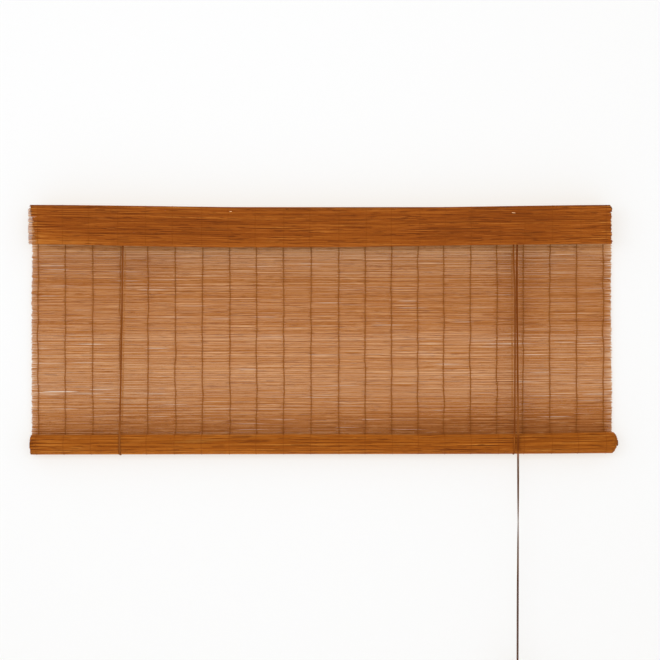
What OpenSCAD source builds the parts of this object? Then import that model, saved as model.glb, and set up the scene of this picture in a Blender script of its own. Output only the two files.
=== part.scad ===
// Bamboo roll-up blind with its head board, cord pulleys and pull cord,
// shown part rolled up. Millimetres, +Z up, the room side is -Y.
// The origin is the middle of the two fixing holes, on top of the head board.

/* [Mat] */
// Width of the woven stick mat
mat_w = 1200; // [1000:10:1600]
// Thickness of the mat with its threads
mat_t = 1.5; // [1:0.1:2]
// Depth of the roll's axis below the top of the head board
roll_drop = 486.7; // [300:0.1:900]
// Radius of the rolled-up part of the mat
roll_r = 21.2; // [18:0.1:22]
// How much higher the roll's right end hangs than its left end
roll_rise = 4; // [0:0.5:8]
// How far the inner turns stand out of the roll's right end
telescope = 11; // [2:0.5:16]
// Radius of the wooden rod in the roll
rod_r = 6; // [4:0.5:8]

/* [Valance] */
// Height of the valance at its ends
valance_h = 79.7; // [60:0.1:120]
// How far the valance and its lath sag in the middle
sag_mid = 5.3; // [0:0.1:8]
// Height of the lath in the valance's fold
lath_h = 14; // [10:0.5:20]
// Thickness of that lath
lath_t = 3; // [2:0.5:5]

/* [Head board] */
// Length of the board
board_w = 1178; // [980:2:1578]
// Height of the board
board_h = 18; // [15:1:25]
// Diameter of the two fixing holes
hole_d = 4.5; // [3.5:0.1:6]
// Distance between the fixing holes
hole_gap = 1000; // [860:10:1140]

/* [Pulleys] */
// Position of the left pulley across the board
left_x = -403; // [-430:1:-300]
// Position of the right pulley across the board
right_x = 398.6; // [300:0.2:430]
// Radius of a roller's flanges
roller_r = 6; // [5.5:0.1:6.2]
// Radius of the pin that a roller turns on
pin_r = 1; // [0.8:0.1:1.2]

/* [Cords] */
// Diameter of the braided cord
cord_d = 2; // [1.6:0.1:2.2]

/* [Hidden] */
$fn = 48;

c_r = cord_d / 2;
half = mat_w / 2;
// planes from the wall side to the room side
panel_y = 17;
roll_y = panel_y + mat_t / 2 - roll_r;
board_back = 25;
board_front = -33;
val_y = board_front - 0.3;
lath_y = val_y - mat_t - 0.3;
val_front_y = lath_y - lath_t - 0.3;
// cord lanes on the rollers
lane_a = -26.2;
lane_b = -28.6;
lane_mid = (lane_a + lane_b) / 2;
sling_r = roll_y - lane_a;
rear_y = roll_y + sling_r;
eye_y = rear_y + 2.4;
// pulleys
turn_r = 4;
plate_t = 0.8;
roller_w = 6.4;
axle_z = -board_h - plate_t - 6.7;
root_r = turn_r - c_r - 0.35;
bore_r = pin_r + 0.05;
lip_y0 = lane_mid + roller_w / 2 + 0.3;
lip_y1 = lane_mid - roller_w / 2 - 0.3;
ear = 12.5;
screw_r = 1.1;
// valance
val_top = 4.5;
val_x0 = -half + 3.5;
val_x1 = half - 7.2;
val_steps = 24;
val_bot = val_top - valance_h;
// cord eyes and the points where the cords cross the roll
eye_lx = left_x - turn_r;
eye_rx = right_x - turn_r;
eye_z = -board_h - 5.3;
wire_r = 0.9;
loop_z = eye_z - 3.5;
knot_z = loop_z - 4.2;
sling_lx = -415;
sling_rx = 397;
pull_x = right_x + turn_r;
// hank and tassel
hank_x = 401.2;
hank_y = -27.2;
hank_top = -940;
hank_w = 26;
hank_h = 66;
hank_d = 16;
tassel_top = -1022;
tassel_h = 30;
tip_x = [-560, -280, 0, 280, 560];
panel_staple_x = [for (i = [-10 : 10]) i * 56];
valance_staple_spots = [[-186, -9.2], [-71, -4.3], [392, -11.6]];
lath_nail_x = [-570, -320, 0, 300, 570];

function roll_axis_z(x) = -roll_drop + roll_rise * x / mat_w;
function sag(x) = -sag_mid * pow(1 - pow(min(1, abs(x) / half), 2), 2);
function top_z(x) = val_top + sag(x);
function bot_z(x) = val_bot + 1.35 * sag(x);
function lerp(a, b, t) = a + (b - a) * t;

// rings of a tube along points, each ring square to its stretch
function unit(v) = v / norm(v);
function heading(p, i) = unit(p[min(i + 1, len(p) - 1)] - p[max(i - 1, 0)]);
function ring(c, d, r, n) =
  let (u = unit(cross(abs(d[2]) > 0.8 ? [1, 0, 0] : [0, 0, 1], d)), v = cross(d, u))
  [for (k = [0 : n - 1]) c + r * (cos(360 * k / n) * u + sin(360 * k / n) * v)];
module tube(p, r = c_r, n = 8) {
  m = len(p);
  polyhedron(
    points = [for (i = [0 : m - 1]) each ring(p[i], heading(p, i), r, n)],
    faces = concat(
      [[for (k = [n - 1 : -1 : 0]) k]],
      [[for (k = [0 : n - 1]) (m - 1) * n + k]],
      [for (i = [0 : m - 2]) for (k = [0 : n - 1])
        [i * n + k, i * n + (k + 1) % n, (i + 1) * n + (k + 1) % n, (i + 1) * n + k]]));
}

// a slab in the XZ plane, from y towards the room
module slab(y, t, pts) translate([0, y, 0]) rotate([90, 0, 0]) linear_extrude(t) polygon(pts);
function strip_pts(x0, x0b, x1, up, down) = concat(
  [for (i = [0 : val_steps]) let (x = lerp(x0, x1, i / val_steps)) [x, top_z(x) - up]],
  [for (i = [val_steps : -1 : 0]) let (x = lerp(x0b, x1, i / val_steps)) [x, down < 0 ? bot_z(x) : top_z(x) - down]]);

// ---- head board and what hangs from it ----
module screw_shank(z, l, g = 0) translate([0, 0, z]) cylinder(r = screw_r + g, h = l);
module pulley_screw_spots() for (x = [left_x, right_x]) for (s = [-ear, ear]) translate([x + s, lane_mid, 0]) children();
module batten_screw_spots() for (x = tip_x) translate([x, 11, 0]) children();
module valance_legs(g) for (p = valance_staple_spots) for (s = [-2.2, 2.2])
  translate([p[0] + s - 0.4 - g, board_front + 7 + g, p[1] - 0.4 - g]) rotate([90, 0, 0])
    cube([0.8 + 2 * g, 0.8 + 2 * g, board_front + 7 + g - val_front_y + mat_t + g]);

module lath_nail_body(g) for (x = lath_nail_x) translate([x, board_front + 12, top_z(x) - 9]) rotate([90, 0, 0]) {
  cylinder(r = 0.8 + g, h = board_front + 12 - lath_y + lath_t - 0.6);
  translate([0, 0, board_front + 12 - lath_y + lath_t - 0.7 - g]) cylinder(r = 1.7 + g, h = 0.7 + g);
}

module headboard() color([0.62, 0.44, 0.25]) difference() {
  translate([-board_w / 2, board_front, -board_h]) cube([board_w, board_back - board_front, board_h]);
  for (s = [-1, 1]) translate([s * hole_gap / 2, 0, -board_h - 1]) cylinder(d = hole_d, h = board_h + 2);
  pulley_screw_spots() screw_shank(-board_h - 1, 12, 0.05);
  batten_screw_spots() screw_shank(-board_h - 1, 11.1, 0.05);
  for (x = [eye_lx, eye_rx]) translate([x, eye_y, 0]) screw_shank(-board_h - 1, 13.05, 0.05);
  valance_legs(0.05);
  lath_nail_body(0.05);
}
module hanging_batten() color([0.66, 0.48, 0.28]) difference() {
  translate([-board_w / 2, panel_y - mat_t / 2 - 10, -board_h - 14]) cube([board_w, 9.95, 14]);
  batten_screw_spots() screw_shank(-board_h - 15, 16, 0.05);
  batten_screw_spots() translate([0, 0, -board_h - 14.01]) cylinder(r = 2.35, h = 1.61);
  panel_legs(0.05);
}
module batten_screws() color([0.75, 0.73, 0.68]) batten_screw_spots() {
  screw_shank(-board_h - 12.4, 22.4);
  translate([0, 0, -board_h - 14]) cylinder(r = 2.3, h = 1.6);
}
module panel_legs(g) for (x = panel_staple_x) for (s = [-4.6, 4.6])
  translate([x + s - 0.35 - g, panel_y + mat_t / 2, -board_h - 7 - g]) rotate([90, 0, 0]) translate([0, 0, -1])
    cube([0.7 + 2 * g, 0.7 + 2 * g, 7 + g]);
module panel_staples() color([0.78, 0.77, 0.74]) difference() {
  union() {
    panel_legs(0);
    for (x = panel_staple_x) translate([x - 4.95, panel_y + mat_t / 2, -board_h - 7]) cube([9.9, 0.6, 0.7]);
  }
  translate([-half, panel_y + mat_t / 2 + 0.6, -60]) cube([mat_w, 3, 60]);
}

// ---- the mat: hanging stretch, roll, and the rod it is rolled on ----
module panel_mat() color([0.70, 0.46, 0.29]) difference() {
  slab(panel_y + mat_t / 2, mat_t, [
    [-half, -board_h - 0.3], [half, -board_h - 0.3],
    [half, roll_axis_z(half) + 8.8], [-half, roll_axis_z(-half) + 8.8]]);
  panel_legs(0.05);
}
module on_roll_axis() translate([0, roll_y, -roll_drop]) rotate([0, -atan(roll_rise / mat_w), 0]) rotate([0, 90, 0]) children();
module roll_mat() color([0.62, 0.34, 0.12]) on_roll_axis() rotate_extrude() polygon([
  [rod_r, -half - 2], [rod_r + 5, -half - 2], [roll_r - 4, -half - 1.2], [roll_r, -half + 0.4],
  [roll_r, half - 1], [rod_r + 1.2, half + telescope - 1], [rod_r, half + telescope - 1]]);
module bottom_rod() color([0.60, 0.42, 0.24]) on_roll_axis() translate([0, 0, -half - 2.4]) cylinder(r = rod_r, h = mat_w + 2.4 + telescope);

// ---- valance ----
module valance_mat() color([0.57, 0.30, 0.10]) difference() {
  union() {
    slab(val_y, mat_t, strip_pts(val_x0 - 4, val_x0 - 4, val_x1 - 1, 0.05, -1));
    slab(val_front_y, mat_t, strip_pts(val_x0, val_x0 + 11, val_x1, 0, -1));
    slab(val_y, val_y - val_front_y + mat_t, strip_pts(val_x0, val_x0, val_x1, 0, mat_t));
  }
  valance_legs(0.05);
  intersection() {
    lath_nail_body(0.05);
    translate([-half, lath_y, -80]) cube([mat_w, 20, 100]);
  }
}
module valance_lath() color([0.48, 0.30, 0.12]) difference() {
  intersection() {
    slab(lath_y, lath_t, strip_pts(val_x0 + 1, val_x0 + 1, val_x1 + 1.8, mat_t + 0.2, mat_t + 0.2 + lath_h));
    translate([0, lath_y + 1, 0]) rotate([90, 0, 0]) linear_extrude(lath_t + 2) union() {
      translate([-half - 10, -60]) square([half + 10 + val_x1 - 4, 80]);
      translate([val_x1 - 5.2, top_z(val_x1) - mat_t - 0.2 - lath_h / 2]) circle(r = lath_h / 2);
    }
  }
  valance_legs(0.05);
  lath_nail_body(0.05);
}
module lath_nails() color([0.62, 0.60, 0.56]) lath_nail_body(0);
module valance_staples() color([0.80, 0.78, 0.74]) {
  valance_legs(0);
  for (p = valance_staple_spots) translate([p[0] - 2.6, val_front_y - mat_t - 0.6, p[1] - 0.4]) cube([5.2, 0.6, 0.8]);
}

// ---- pulleys ----
module pulley_frame(x) translate([x, 0, 0]) difference() {
  union() {
    translate([-17, lip_y1 - plate_t, -board_h - plate_t]) cube([34, lip_y0 - lip_y1 + 2 * plate_t, plate_t]);
    for (y = [lip_y0 + plate_t, lip_y1]) translate([0, y, 0]) rotate([90, 0, 0]) linear_extrude(plate_t) {
      translate([-6.5, axle_z]) square([13, -axle_z - board_h - plate_t / 2]);
      translate([0, axle_z]) circle(r = 6.5);
    }
  }
  translate([0, 0, axle_z]) rotate([90, 0, 0]) translate([0, 0, 10]) cylinder(r = pin_r, h = 40);
  for (s = [-ear, ear]) translate([s, lane_mid, -board_h - 2]) cylinder(r = screw_r + 0.1, h = 4);
}
module roller(x) translate([x, lane_mid, axle_z]) rotate([90, 0, 0]) rotate_extrude() polygon([
  [bore_r, -roller_w / 2], [roller_r, -roller_w / 2], [roller_r, -roller_w / 2 + 0.5], [root_r, -roller_w / 2 + 1],
  [root_r, roller_w / 2 - 1], [roller_r, roller_w / 2 - 0.5], [roller_r, roller_w / 2], [bore_r, roller_w / 2]]);
module axle_pin(x) translate([x, lip_y0 + plate_t, axle_z]) rotate([90, 0, 0]) union() {
  cylinder(r = pin_r, h = lip_y0 - lip_y1 + 2 * plate_t);
  translate([0, 0, -0.7]) cylinder(r = pin_r + 0.7, h = 0.7);
  translate([0, 0, lip_y0 - lip_y1 + 2 * plate_t]) cylinder(r = pin_r + 0.7, h = 0.7);
}
module left_pulley_frame() color([0.72, 0.71, 0.68]) pulley_frame(left_x);
module right_pulley_frame() color([0.72, 0.71, 0.68]) pulley_frame(right_x);
module left_pulley_roller() color([0.90, 0.88, 0.82]) roller(left_x);
module right_pulley_roller() color([0.90, 0.88, 0.82]) roller(right_x);
module left_pulley_pin() color([0.66, 0.65, 0.62]) axle_pin(left_x);
module right_pulley_pin() color([0.66, 0.65, 0.62]) axle_pin(right_x);
module pulley_screws() color([0.78, 0.70, 0.42]) pulley_screw_spots() {
  screw_shank(-board_h - plate_t, 11);
  translate([0, 0, -board_h - plate_t - 1.2]) cylinder(r = 2.6, h = 1.2);
}

// ---- cord eyes and the knots on them ----
module cord_eye(x) translate([x, eye_y, 0]) {
  screw_shank(-board_h - 1, 12.95);
  translate([0, 0, eye_z]) rotate([90, 0, 0]) rotate_extrude() translate([3.5, 0]) circle(r = wire_r);
}
module left_cord_eye() color([0.80, 0.74, 0.50]) cord_eye(eye_lx);
module right_cord_eye() color([0.80, 0.74, 0.50]) cord_eye(eye_rx);
module eye_knot(x) translate([x, eye_y, 0]) {
  translate([0, 0, loop_z]) rotate([0, 90, 0]) rotate_extrude() translate([wire_r + c_r + 0.1, 0]) circle(r = c_r);
  translate([0, 0, knot_z]) sphere(r = 2.3);
}
module left_eye_knot() color([0.45, 0.27, 0.14]) eye_knot(eye_lx);
module right_eye_knot() color([0.45, 0.27, 0.14]) eye_knot(eye_rx);

// ---- lift cords: down behind the mat, under the roll, up in front, over the rollers ----
module rear_leg(x0, x1) tube([[x0, eye_y, knot_z - 2.5], [x1, rear_y, roll_axis_z(x1) + 0.1]]);
module sling(x) translate([x, roll_y, roll_axis_z(x)]) rotate([180, 0, 0]) rotate([0, -90, 0]) rotate([0, 0, -90])
  rotate_extrude(angle = 180) translate([sling_r, 0]) circle(r = c_r);
module front_leg(x0, y0, x1) tube([[x0, y0, axle_z - 0.1], [x1, lane_a, roll_axis_z(x1) + 0.1]]);
module bend(x, y, a0, a1) translate([x, y, axle_z]) rotate([90, 0, 0]) rotate([0, 0, a0])
  rotate_extrude(angle = a1 - a0) translate([turn_r, 0]) circle(r = c_r);
module left_cord_rear() color([0.42, 0.24, 0.12]) rear_leg(eye_lx, sling_lx);
module right_cord_rear() color([0.42, 0.24, 0.12]) rear_leg(eye_rx, sling_rx);
module left_cord_sling() color([0.42, 0.24, 0.12]) sling(sling_lx);
module right_cord_sling() color([0.42, 0.24, 0.12]) sling(sling_rx);
module left_cord_front() color([0.42, 0.24, 0.12]) front_leg(left_x - turn_r, lane_b, sling_lx);
module right_cord_front() color([0.42, 0.24, 0.12]) front_leg(right_x - turn_r, lane_a, sling_rx);
module left_cord_run() color([0.42, 0.24, 0.12]) {
  bend(left_x, lane_b, 90, 180);
  translate([left_x, lane_b, axle_z + turn_r]) rotate([0, 90, 0]) cylinder(r = c_r, h = right_x - left_x);
  bend(right_x, lane_b, 0, 90);
}
module right_cord_bend() color([0.42, 0.24, 0.12]) bend(right_x, lane_a, 0, 180);

// ---- pull cord: two strands, put away in a tied hank, and a tassel ----
left_pull_pts = [[pull_x, lane_b, axle_z - 0.1], [pull_x, -28.6, -60], [401.6, -28.6, -200], [401, -28.6, -485], [400.4, -28.4, -700], [400, -28.4, -900], [400, -28.4, hank_top + 0.1]];
right_pull_pts = [[pull_x, lane_a, axle_z - 0.1], [pull_x, -26.2, -60], [403.4, -26.2, -200], [404, -26.2, -485], [402.8, -26.2, -700], [402.4, -26, -900], [402.4, -26, hank_top + 0.1]];
module left_pull_strand() color([0.44, 0.30, 0.20]) tube(left_pull_pts);
module right_pull_strand() color([0.44, 0.30, 0.20]) tube(right_pull_pts);
module stadium(w, h) { translate([-w / 2, -h / 2 + w / 2]) square([w, h - w]); for (s = [-1, 1]) translate([0, s * (h - w) / 2]) circle(r = w / 2); }
module cord_hank() color([0.44, 0.30, 0.20]) translate([hank_x, hank_y + hank_d / 2, hank_top - hank_h / 2]) rotate([90, 0, 0]) linear_extrude(hank_d) stadium(hank_w, hank_h);
module hank_tie() color([0.36, 0.24, 0.16]) translate([hank_x, hank_y, hank_top - hank_h / 2 - 2]) linear_extrude(4) difference() {
  square([hank_w + 3.2, hank_d + 3.2], center = true);
  square([hank_w + 0.2, hank_d + 0.2], center = true);
}
module cord_tails() color([0.44, 0.30, 0.20]) for (s = [-1, 1])
  translate([hank_x + s * (c_r + 0.1), hank_y, tassel_top - 16.3]) cylinder(r = c_r, h = 16.3 + hank_top - hank_h - 0.1 - tassel_top);
module cord_tassel() color([0.50, 0.30, 0.14]) translate([hank_x, hank_y, tassel_top - tassel_h]) rotate_extrude() polygon([
  [5, 0], [6.6, 0], [7.6, 2], [8, 6], [7.6, 11], [6.4, 17], [4.8, 23], [4, 27], [4, 29.2], [3.6, 30], [2.5, 30], [2.5, 14], [5, 14]]);
module tassel_knot() color([0.44, 0.30, 0.20]) translate([hank_x, hank_y, tassel_top - 20.5]) sphere(r = 4);

headboard();
hanging_batten();
batten_screws();
panel_mat();
panel_staples();
roll_mat();
bottom_rod();
valance_mat();
valance_lath();
lath_nails();
valance_staples();
left_pulley_frame();
left_pulley_roller();
left_pulley_pin();
right_pulley_frame();
right_pulley_roller();
right_pulley_pin();
pulley_screws();
left_cord_eye();
right_cord_eye();
left_eye_knot();
right_eye_knot();
left_cord_rear();
left_cord_sling();
left_cord_front();
left_cord_run();
right_cord_rear();
right_cord_sling();
right_cord_front();
right_cord_bend();
left_pull_strand();
right_pull_strand();
cord_hank();
hank_tie();
cord_tails();
cord_tassel();
tassel_knot();
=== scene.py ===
import math

import bpy
import numpy as np
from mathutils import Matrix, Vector


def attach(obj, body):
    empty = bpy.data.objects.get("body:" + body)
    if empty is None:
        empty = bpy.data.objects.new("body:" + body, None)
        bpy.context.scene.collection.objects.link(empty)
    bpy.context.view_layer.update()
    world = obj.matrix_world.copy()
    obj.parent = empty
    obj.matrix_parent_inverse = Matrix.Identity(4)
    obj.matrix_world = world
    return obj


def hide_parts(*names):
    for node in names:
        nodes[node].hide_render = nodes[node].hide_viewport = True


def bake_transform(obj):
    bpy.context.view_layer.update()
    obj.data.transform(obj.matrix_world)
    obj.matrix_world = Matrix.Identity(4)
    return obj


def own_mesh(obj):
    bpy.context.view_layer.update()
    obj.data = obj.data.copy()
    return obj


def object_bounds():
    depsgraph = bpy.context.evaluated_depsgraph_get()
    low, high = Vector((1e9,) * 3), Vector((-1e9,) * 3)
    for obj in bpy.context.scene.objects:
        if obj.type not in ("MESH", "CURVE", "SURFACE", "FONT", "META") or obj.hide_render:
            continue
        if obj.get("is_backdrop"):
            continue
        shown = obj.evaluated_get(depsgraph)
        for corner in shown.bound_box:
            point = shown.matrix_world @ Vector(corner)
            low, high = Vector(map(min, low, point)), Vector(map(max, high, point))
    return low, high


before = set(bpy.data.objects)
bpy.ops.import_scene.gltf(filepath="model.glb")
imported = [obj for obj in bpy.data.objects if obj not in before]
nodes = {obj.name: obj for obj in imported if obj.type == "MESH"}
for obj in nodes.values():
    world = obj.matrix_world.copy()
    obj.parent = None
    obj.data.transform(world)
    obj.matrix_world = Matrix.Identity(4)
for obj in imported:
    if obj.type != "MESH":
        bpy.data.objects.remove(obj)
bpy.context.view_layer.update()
scene = bpy.context.scene
scene.view_settings.view_transform = "Standard"
MM = 0.001

# ---------------------------------------------------------------- camera
cam_data = bpy.data.cameras.new("camera")
cam_data.sensor_fit = "HORIZONTAL"
cam_data.sensor_width = 36.0
cam_data.lens = 105.19
cam_data.clip_end = 50.0
cam = bpy.data.objects.new("camera", cam_data)
scene.collection.objects.link(cam)
cam.location = (0.0171, -3.983, -0.2518)
cam.rotation_euler = (math.pi / 2, 0.0, 0.0)
scene.camera = cam


# ---------------------------------------------------------------- helpers
def lin(r, g, b):
    """An sRGB colour, 0 to 255, as linear RGBA."""
    out = []
    for c in (r, g, b):
        c = c / 255.0
        out.append(c / 12.92 if c <= 0.04045 else ((c + 0.055) / 1.055) ** 2.4)
    return (*out, 1.0)


def new_mat(name):
    m = bpy.data.materials.new(name)
    m.use_nodes = True
    return m, m.node_tree, m.node_tree.nodes["Principled BSDF"]


def put(nt, kind, props=None, ins=None):
    n = nt.nodes.new(kind)
    for k, v in (props or {}).items():
        setattr(n, k, v)
    for k, v in (ins or {}).items():
        if isinstance(v, bpy.types.NodeSocket):
            nt.links.new(v, n.inputs[k])
        else:
            n.inputs[k].default_value = v
    return n


def math_node(nt, op, a, b=0.0):
    return put(nt, "ShaderNodeMath", {"operation": op}, {0: a, 1: b}).outputs[0]


def ramp(nt, fac, stops, interp="LINEAR"):
    n = put(nt, "ShaderNodeValToRGB", None, {"Fac": fac})
    n.color_ramp.interpolation = interp
    els = n.color_ramp.elements
    while len(els) > len(stops):
        els.remove(els[-1])
    while len(els) < len(stops):
        els.new(0.5)
    for e, (p, c) in zip(els, stops):
        e.position = p
        e.color = c
    return n.outputs["Color"]


def grey(v):
    return (v, v, v, 1.0)


def noise(nt, vec, scale, detail=2.0, rough=0.5):
    return put(nt, "ShaderNodeTexNoise", None,
               {"Vector": vec, "Scale": scale, "Detail": detail, "Roughness": rough}).outputs["Fac"]


def stretch(nt, vec, by):
    return put(nt, "ShaderNodeVectorMath", {"operation": "MULTIPLY"}, {0: vec, 1: by}).outputs[0]


def mix_col(nt, fac, a, b, blend="MIX"):
    n = nt.nodes.new("ShaderNodeMix")
    n.data_type = "RGBA"
    n.blend_type = blend
    for sock, v in ((n.inputs[0], fac), (n.inputs[6], a), (n.inputs[7], b)):
        if isinstance(v, bpy.types.NodeSocket):
            nt.links.new(v, sock)
        else:
            sock.default_value = v
    return n.outputs[2]


def bump(nt, bsdf, height, strength, distance):
    n = put(nt, "ShaderNodeBump", None, {"Height": height, "Strength": strength, "Distance": distance})
    nt.links.new(n.outputs["Normal"], bsdf.inputs["Normal"])


def build(name, verts, faces, mats, smooth=None, index=None, attrs=None, uv=None):
    """A mesh object from points in mm and lists of faces."""
    me = bpy.data.meshes.new(name)
    v = np.asarray(verts, float).reshape(-1, 3) * MM
    me.vertices.add(len(v))
    me.vertices.foreach_set("co", v.astype(np.float32).ravel())
    loops = np.concatenate([np.asarray(f).ravel() for f in faces]).astype(np.int32)
    sizes = np.concatenate([np.full(len(f), np.asarray(f).shape[1], np.int32) for f in faces])
    me.loops.add(len(loops))
    me.loops.foreach_set("vertex_index", loops)
    me.polygons.add(len(sizes))
    me.polygons.foreach_set("loop_start", np.concatenate([[0], np.cumsum(sizes)[:-1]]).astype(np.int32))
    flags = np.concatenate([np.full(len(f), True if smooth is None else smooth[i], bool) for i, f in enumerate(faces)])
    me.polygons.foreach_set("use_smooth", flags)
    if index is not None:
        me.polygons.foreach_set("material_index", np.concatenate(
            [np.full(len(f), index[i], np.int32) for i, f in enumerate(faces)]))
    me.update(calc_edges=True)
    for key, (kind, values) in (attrs or {}).items():
        a = me.attributes.new(key, kind, "POINT")
        a.data.foreach_set("value" if kind == "FLOAT" else "vector", np.asarray(values, np.float32).ravel())
    if uv is not None:
        layer = me.uv_layers.new(name="cord")
        layer.data.foreach_set("uv", np.asarray(uv, np.float32).ravel())
    for m in mats:
        me.materials.append(m)
    o = bpy.data.objects.new(name, me)
    scene.collection.objects.link(o)
    return o


def unit(v):
    return v / np.maximum(np.linalg.norm(v, axis=-1, keepdims=True), 1e-12)


def smooth_line(points, step):
    """A Catmull-Rom curve through points, sampled about every step mm."""
    p = np.asarray(points, float)
    p = np.vstack([2 * p[0] - p[1], p, 2 * p[-1] - p[-2]])
    out = []
    for i in range(1, len(p) - 2):
        n = max(2, int(math.ceil(np.linalg.norm(p[i + 1] - p[i]) / step)))
        t = np.linspace(0, 1, n, endpoint=False)[:, None]
        a, b, c, d = p[i - 1], p[i], p[i + 1], p[i + 2]
        out.append(0.5 * (2 * b + (c - a) * t + (2 * a - 5 * b + 4 * c - d) * t ** 2 + (3 * b - a - 3 * c + d) * t ** 3))
    return np.vstack(out + [p[-2:-1]])


def run_length(p):
    return np.concatenate([[0], np.cumsum(np.linalg.norm(np.diff(p, axis=0), axis=1))])


def even(p, step):
    s = run_length(p)
    at = np.linspace(0, s[-1], max(2, int(round(s[-1] / step)) + 1))
    return np.stack([np.interp(at, s, p[:, k]) for k in range(3)], axis=1)


def tube_parts(p, r, k=10, closed=False, flat=1.0):
    """Points, faces and UVs of a tube along p, with its section carried along without twist."""
    p = np.asarray(p, float)
    n = len(p)
    if closed:
        t = unit(np.roll(p, -1, 0) - np.roll(p, 1, 0))
    else:
        t = unit(np.gradient(p, axis=0))
    u = np.zeros_like(p)
    ref = np.array([1.0, 0, 0]) if abs(t[0, 0]) < 0.8 else np.array([0, 0, 1.0])
    u[0] = unit(ref - t[0] * (ref @ t[0]))
    for i in range(1, n):
        w = u[i - 1] - t[i] * (u[i - 1] @ t[i])
        u[i] = unit(w)
    if closed:
        w = u[-1] - t[0] * (u[-1] @ t[0])
        w = unit(w)
        ang = math.atan2(np.cross(w, u[0]) @ t[0], w @ u[0])
        a = ang * np.arange(n) / n
        side = np.cross(t, u)
        u = u * np.cos(a)[:, None] + side * np.sin(a)[:, None]
    v = np.cross(t, u)
    ang = 2 * math.pi * np.arange(k) / k
    rr = np.broadcast_to(np.asarray(r, float), (n,))
    pts = p[:, None, :] + rr[:, None, None] * (np.cos(ang)[None, :, None] * u[:, None, :] + flat * np.sin(ang)[None, :, None] * v[:, None, :])
    rows = n if closed else n - 1
    i = np.arange(rows)[:, None]
    j = np.arange(k)[None, :]
    i2, j2 = (i + 1) % n, (j + 1) % k
    quads = np.stack([i * k + j, i * k + j2, i2 * k + j2, i2 * k + j], -1).reshape(-1, 4)
    s = run_length(p) / (2 * math.pi * float(np.mean(rr)))
    if closed:
        s = np.append(s, s[-1] + (s[1] - s[0]))
    uu = np.broadcast_to(s[:rows][:, None], (rows, k))
    uu2 = np.broadcast_to(s[1:rows + 1][:, None], (rows, k))
    vv = np.broadcast_to((j / k), (rows, k))
    vv2 = np.broadcast_to(((j + 1) / k), (rows, k))
    uv = np.stack([np.stack([uu, vv], -1), np.stack([uu, vv2], -1), np.stack([uu2, vv2], -1), np.stack([uu2, vv], -1)], 2).reshape(-1, 2)
    caps = np.zeros((0, k), int)
    if not closed:
        caps = np.stack([np.arange(k)[::-1], (n - 1) * k + np.arange(k)])
        uv = np.vstack([uv, np.tile([[0.0, 0.0]], (2 * k, 1))])
    return pts.reshape(-1, 3), quads, caps, uv


def cord_mesh(name, lines, r, mat, k=10, flat=1.0):
    """One mesh of one or more tubes. A line is (points, closed)."""
    vs, qs, cs, uq, uc, base = [], [], [], [], [], 0
    for p, closed in lines:
        v, q, c, uv = tube_parts(p, r, k, closed, flat)
        vs.append(v)
        qs.append(q + base)
        uq.append(uv[:len(q) * 4])
        if len(c):
            cs.append(c + base)
            uc.append(uv[len(q) * 4:])
        base += len(v)
    faces = [np.vstack(qs)] + ([np.vstack(cs)] if cs else [])
    return build(name, np.vstack(vs), faces, [mat], [True, False][:len(faces)], uv=np.vstack(uq + uc))


# ---------------------------------------------------------------- materials
def cord_material(name, dark, mid, light, carriers=6.0, shade_and_wear_bands=()):
    m, nt, bsdf = new_mat(name)
    uv = put(nt, "ShaderNodeUVMap", {"uv_map": "cord"}).outputs[0]
    sep = put(nt, "ShaderNodeSeparateXYZ", None, {0: uv})
    along = math_node(nt, "MULTIPLY", sep.outputs[0], 2 * math.pi * 2.2)
    around = math_node(nt, "MULTIPLY", sep.outputs[1], 2 * math.pi * carriers / 2)
    sa = math_node(nt, "SINE", math_node(nt, "ADD", along, around))
    sb = math_node(nt, "SINE", math_node(nt, "SUBTRACT", along, around))
    top = math_node(nt, "MAXIMUM", sa, sb)
    fine = noise(nt, stretch(nt, uv, (9.0, 30.0, 1.0)), 1.0, 3.0, 0.6)
    slow = noise(nt, stretch(nt, uv, (0.12, 0.8, 1.0)), 1.0, 2.0, 0.5)
    f = math_node(nt, "ADD", math_node(nt, "MULTIPLY", top, 0.14), math_node(nt, "MULTIPLY", fine, 0.5))
    f = math_node(nt, "ADD", f, math_node(nt, "MULTIPLY", slow, 0.35))
    col = ramp(nt, f, [(0.15, dark), (0.5, mid), (0.85, light)])
    # bands of other colours along the cord by its length: some are painted shade, the others are lighter or worn
    # stretches
    for u0, u1, a, b, c in shade_and_wear_bands:
        far = put(nt, "ShaderNodeMapRange", None, {"Value": sep.outputs[0], "From Min": u0, "From Max": u1}).outputs[0]
        col = mix_col(nt, far, col, ramp(nt, f, [(0.15, a), (0.5, b), (0.85, c)]))
    nt.links.new(col, bsdf.inputs["Base Color"])
    bsdf.inputs["Roughness"].default_value = 0.78
    bsdf.inputs["Specular IOR Level"].default_value = 0.03
    h = math_node(nt, "ADD", math_node(nt, "MULTIPLY", top, 0.7), math_node(nt, "MULTIPLY", fine, 0.3))
    bump(nt, bsdf, h, 0.45, 0.0002)
    return m


cord_mat = cord_material("braided_cord", lin(92, 45, 13), lin(118, 59, 19), lin(144, 80, 32))
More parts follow.
